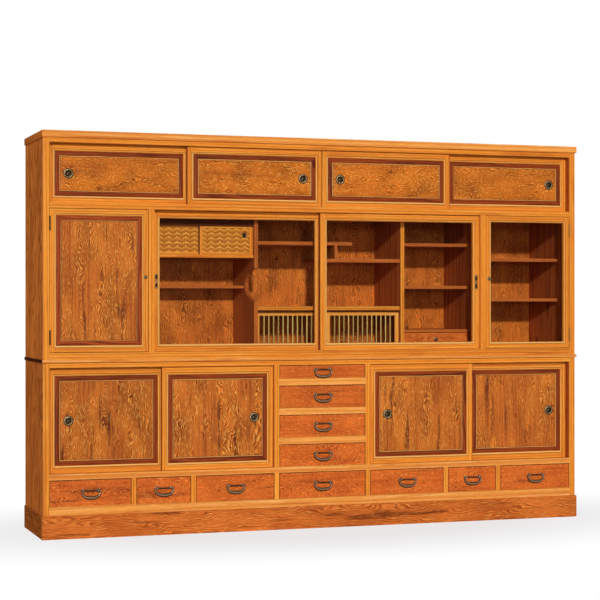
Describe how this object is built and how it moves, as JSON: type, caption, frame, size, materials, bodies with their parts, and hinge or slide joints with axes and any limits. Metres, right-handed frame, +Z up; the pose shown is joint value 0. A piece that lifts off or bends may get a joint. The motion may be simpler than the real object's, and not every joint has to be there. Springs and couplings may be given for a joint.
{
  "type": "tea cabinet",
  "caption": "Wide two-tier tea cabinet with sliding panel and glass doors, hinged side doors, a staggered display interior, drawers with drop bails and a plinth.",
  "frame": {"origin": "on the floor under the middle of the cabinet's box", "axes": "+X along the width to the viewer's right, +Y from the front to the back, +Z up"},
  "size_m": [2.56, 0.4665, 1.763],
  "materials": {
    "carcass_wood": "clear satin lacquer over golden softwood",
    "door_wood": "clear satin lacquer, burl panel in a golden frame",
    "drawer_wood": "clear satin lacquer over burl veneer",
    "plinth_wood": "clear satin lacquer over burl veneer",
    "interior_wood": "thin clear finish",
    "woven_wood": "woven thin wood strips in a slim frame",
    "lattice_wood": "pale slim bars",
    "glass": "clear",
    "bronze": "dark patinated bronze"
  },
  "bodies": {
    "cabinet": {"top_board": "carcass_wood", "upper_side_panels": "carcass_wood", "upper_back_panel": "interior_wood", "upper_base_board": "carcass_wood", "upper_front_rails": "carcass_wood", "upper_decks": "interior_wood", "upper_partitions": "carcass_wood", "scooped_partition": "interior_wood", "staggered_shelves": "interior_wood", "fixed_shelves": "interior_wood", "hinges": "bronze", "lower_side_panels": "carcass_wood", "lower_back_panel": "interior_wood", "lower_front_rails": "carcass_wood", "lower_decks": "interior_wood", "lower_partitions": "carcass_wood", "drawer_runners": "interior_wood", "plinth": "plinth_wood"},
    "top_door_1": {"top_door_1": "door_wood"},
    "top_door_2": {"top_door_2": "door_wood"},
    "top_door_3": {"top_door_3": "door_wood"},
    "top_door_4": {"top_door_4": "door_wood"},
    "lower_door_1": {"lower_door_1": "door_wood"},
    "lower_door_2": {"lower_door_2": "door_wood"},
    "lower_door_3": {"lower_door_3": "door_wood"},
    "lower_door_4": {"lower_door_4": "door_wood"},
    "glass_door_left": {"glass_door_left_frame": "door_wood", "glass_pane_left": "glass"},
    "glass_door_right": {"glass_door_right_frame": "door_wood", "glass_pane_right": "glass"},
    "woven_door_left": {"woven_door_left": "woven_wood"},
    "woven_door_right": {"woven_door_right": "woven_wood"},
    "lattice_door_left": {"lattice_door_left": "lattice_wood"},
    "lattice_door_right": {"lattice_door_right": "lattice_wood"},
    "left_hinged_door": {"left_hinged_door": "door_wood"},
    "right_hinged_door": {"right_hinged_door_frame": "door_wood", "right_hinged_pane": "glass"},
    "centre_drawer_1": {"centre_drawer_1": "drawer_wood"},
    "centre_drawer_1_bail": {"centre_drawer_1_bail": "bronze"},
    "centre_drawer_2": {"centre_drawer_2": "drawer_wood"},
    "centre_drawer_2_bail": {"centre_drawer_2_bail": "bronze"},
    "centre_drawer_3": {"centre_drawer_3": "drawer_wood"},
    "centre_drawer_3_bail": {"centre_drawer_3_bail": "bronze"},
    "centre_drawer_4": {"centre_drawer_4": "drawer_wood"},
    "centre_drawer_4_bail": {"centre_drawer_4_bail": "bronze"},
    "base_drawer_1": {"base_drawer_1": "drawer_wood"},
    "base_drawer_1_bail": {"base_drawer_1_bail": "bronze"},
    "base_drawer_2": {"base_drawer_2": "drawer_wood"},
    "base_drawer_2_bail": {"base_drawer_2_bail": "bronze"},
    "base_drawer_3": {"base_drawer_3": "drawer_wood"},
    "base_drawer_3_bail": {"base_drawer_3_bail": "bronze"},
    "base_drawer_4": {"base_drawer_4": "drawer_wood"},
    "base_drawer_4_bail": {"base_drawer_4_bail": "bronze"},
    "base_drawer_5": {"base_drawer_5": "drawer_wood"},
    "base_drawer_5_bail": {"base_drawer_5_bail": "bronze"},
    "base_drawer_6": {"base_drawer_6": "drawer_wood"},
    "base_drawer_6_bail": {"base_drawer_6_bail": "bronze"},
    "base_drawer_7": {"base_drawer_7": "drawer_wood"},
    "base_drawer_7_bail": {"base_drawer_7_bail": "bronze"},
    "inner_drawer": {"inner_drawer": "drawer_wood"}
  },
  "joints": [
    {"name": "top_door_1_slide", "type": "slide", "parent": "cabinet", "child": "top_door_1", "axis": [1, 0, 0], "range_m": [0, 0.6135]},
    {"name": "top_door_2_slide", "type": "slide", "parent": "cabinet", "child": "top_door_2", "axis": [1, 0, 0], "range_m": [-0.6135, 0]},
    {"name": "top_door_3_slide", "type": "slide", "parent": "cabinet", "child": "top_door_3", "axis": [1, 0, 0], "range_m": [0, 0.6135]},
    {"name": "top_door_4_slide", "type": "slide", "parent": "cabinet", "child": "top_door_4", "axis": [1, 0, 0], "range_m": [-0.6135, 0]},
    {"name": "lower_door_1_slide", "type": "slide", "parent": "cabinet", "child": "lower_door_1", "axis": [1, 0, 0], "range_m": [0, 0.49775]},
    {"name": "lower_door_2_slide", "type": "slide", "parent": "cabinet", "child": "lower_door_2", "axis": [1, 0, 0], "range_m": [-0.49775, 0]},
    {"name": "lower_door_3_slide", "type": "slide", "parent": "cabinet", "child": "lower_door_3", "axis": [1, 0, 0], "range_m": [0, 0.49775]},
    {"name": "lower_door_4_slide", "type": "slide", "parent": "cabinet", "child": "lower_door_4", "axis": [1, 0, 0], "range_m": [-0.49775, 0]},
    {"name": "glass_door_left_slide", "type": "slide", "parent": "cabinet", "child": "glass_door_left", "axis": [1, 0, 0], "range_m": [0, 0.773]},
    {"name": "glass_door_right_slide", "type": "slide", "parent": "cabinet", "child": "glass_door_right", "axis": [1, 0, 0], "range_m": [-0.773, 0]},
    {"name": "woven_door_left_slide", "type": "slide", "parent": "cabinet", "child": "woven_door_left", "axis": [1, 0, 0], "range_m": [0, 0.233]},
    {"name": "woven_door_right_slide", "type": "slide", "parent": "cabinet", "child": "woven_door_right", "axis": [1, 0, 0], "range_m": [-0.233, 0]},
    {"name": "lattice_door_left_slide", "type": "slide", "parent": "cabinet", "child": "lattice_door_left", "axis": [1, 0, 0], "range_m": [0, 0.3385]},
    {"name": "lattice_door_right_slide", "type": "slide", "parent": "cabinet", "child": "lattice_door_right", "axis": [1, 0, 0], "range_m": [-0.3385, 0]},
    {"name": "left_hinged_door_hinge", "type": "hinge", "parent": "cabinet", "child": "left_hinged_door", "pos_m": [-1.246, -0.21775, 1.1155], "axis": [0, 0, -1], "range_deg": [0, 110]},
    {"name": "right_hinged_door_hinge", "type": "hinge", "parent": "cabinet", "child": "right_hinged_door", "pos_m": [1.246, -0.21775, 1.1155], "axis": [0, 0, 1], "range_deg": [0, 110]},
    {"name": "centre_drawer_1_slide", "type": "slide", "parent": "cabinet", "child": "centre_drawer_1", "axis": [0, -1, 0], "range_m": [0, 0.3]},
    {"name": "centre_drawer_1_bail_swing", "type": "hinge", "parent": "centre_drawer_1", "child": "centre_drawer_1_bail", "pos_m": [0, -0.22075, 0.717], "axis": [-1, 0, 0], "range_deg": [0, 90]},
    {"name": "centre_drawer_2_slide", "type": "slide", "parent": "cabinet", "child": "centre_drawer_2", "axis": [0, -1, 0], "range_m": [0, 0.3]},
    {"name": "centre_drawer_2_bail_swing", "type": "hinge", "parent": "centre_drawer_2", "child": "centre_drawer_2_bail", "pos_m": [0, -0.22075, 0.60483], "axis": [-1, 0, 0], "range_deg": [0, 90]},
    {"name": "centre_drawer_3_slide", "type": "slide", "parent": "cabinet", "child": "centre_drawer_3", "axis": [0, -1, 0], "range_m": [0, 0.3]},
    {"name": "centre_drawer_3_bail_swing", "type": "hinge", "parent": "centre_drawer_3", "child": "centre_drawer_3_bail", "pos_m": [0, -0.22075, 0.4725], "axis": [-1, 0, 0], "range_deg": [0, 90]},
    {"name": "centre_drawer_4_slide", "type": "slide", "parent": "cabinet", "child": "centre_drawer_4", "axis": [0, -1, 0], "range_m": [0, 0.3]},
    {"name": "centre_drawer_4_bail_swing", "type": "hinge", "parent": "centre_drawer_4", "child": "centre_drawer_4_bail", "pos_m": [0, -0.22075, 0.34017], "axis": [-1, 0, 0], "range_deg": [0, 90]},
    {"name": "base_drawer_1_slide", "type": "slide", "parent": "cabinet", "child": "base_drawer_1", "axis": [0, -1, 0], "range_m": [0, 0.3]},
    {"name": "base_drawer_1_bail_swing", "type": "hinge", "parent": "base_drawer_1", "child": "base_drawer_1_bail", "pos_m": [-1.0665, -0.22075, 0.2055], "axis": [-1, 0, 0], "range_deg": [0, 90]},
    {"name": "base_drawer_2_slide", "type": "slide", "parent": "cabinet", "child": "base_drawer_2", "axis": [0, -1, 0], "range_m": [0, 0.3]},
    {"name": "base_drawer_2_bail_swing", "type": "hinge", "parent": "base_drawer_2", "child": "base_drawer_2_bail", "pos_m": [-0.7405, -0.22075, 0.2055], "axis": [-1, 0, 0], "range_deg": [0, 90]},
    {"name": "base_drawer_3_slide", "type": "slide", "parent": "cabinet", "child": "base_drawer_3", "axis": [0, -1, 0], "range_m": [0, 0.3]},
    {"name": "base_drawer_3_bail_swing", "type": "hinge", "parent": "base_drawer_3", "child": "base_drawer_3_bail", "pos_m": [-0.4125, -0.22075, 0.2055], "axis": [-1, 0, 0], "range_deg": [0, 90]},
    {"name": "base_drawer_4_slide", "type": "slide", "parent": "cabinet", "child": "base_drawer_4", "axis": [0, -1, 0], "range_m": [0, 0.3]},
    {"name": "base_drawer_4_bail_swing", "type": "hinge", "parent": "base_drawer_4", "child": "base_drawer_4_bail", "pos_m": [0, -0.22075, 0.2055], "axis": [-1, 0, 0], "range_deg": [0, 90]},
    {"name": "base_drawer_5_slide", "type": "slide", "parent": "cabinet", "child": "base_drawer_5", "axis": [0, -1, 0], "range_m": [0, 0.3]},
    {"name": "base_drawer_5_bail_swing", "type": "hinge", "parent": "base_drawer_5", "child": "base_drawer_5_bail", "pos_m": [0.4125, -0.22075, 0.2055], "axis": [-1, 0, 0], "range_deg": [0, 90]},
    {"name": "base_drawer_6_slide", "type": "slide", "parent": "cabinet", "child": "base_drawer_6", "axis": [0, -1, 0], "range_m": [0, 0.3]},
    {"name": "base_drawer_6_bail_swing", "type": "hinge", "parent": "base_drawer_6", "child": "base_drawer_6_bail", "pos_m": [0.7405, -0.22075, 0.2055], "axis": [-1, 0, 0], "range_deg": [0, 90]},
    {"name": "base_drawer_7_slide", "type": "slide", "parent": "cabinet", "child": "base_drawer_7", "axis": [0, -1, 0], "range_m": [0, 0.3]},
    {"name": "base_drawer_7_bail_swing", "type": "hinge", "parent": "base_drawer_7", "child": "base_drawer_7_bail", "pos_m": [1.0665, -0.22075, 0.2055], "axis": [-1, 0, 0], "range_deg": [0, 90]},
    {"name": "inner_drawer_slide", "type": "slide", "parent": "cabinet", "child": "inner_drawer", "axis": [0, 1, 0], "range_m": [-0.0705, 0]}
  ]
}
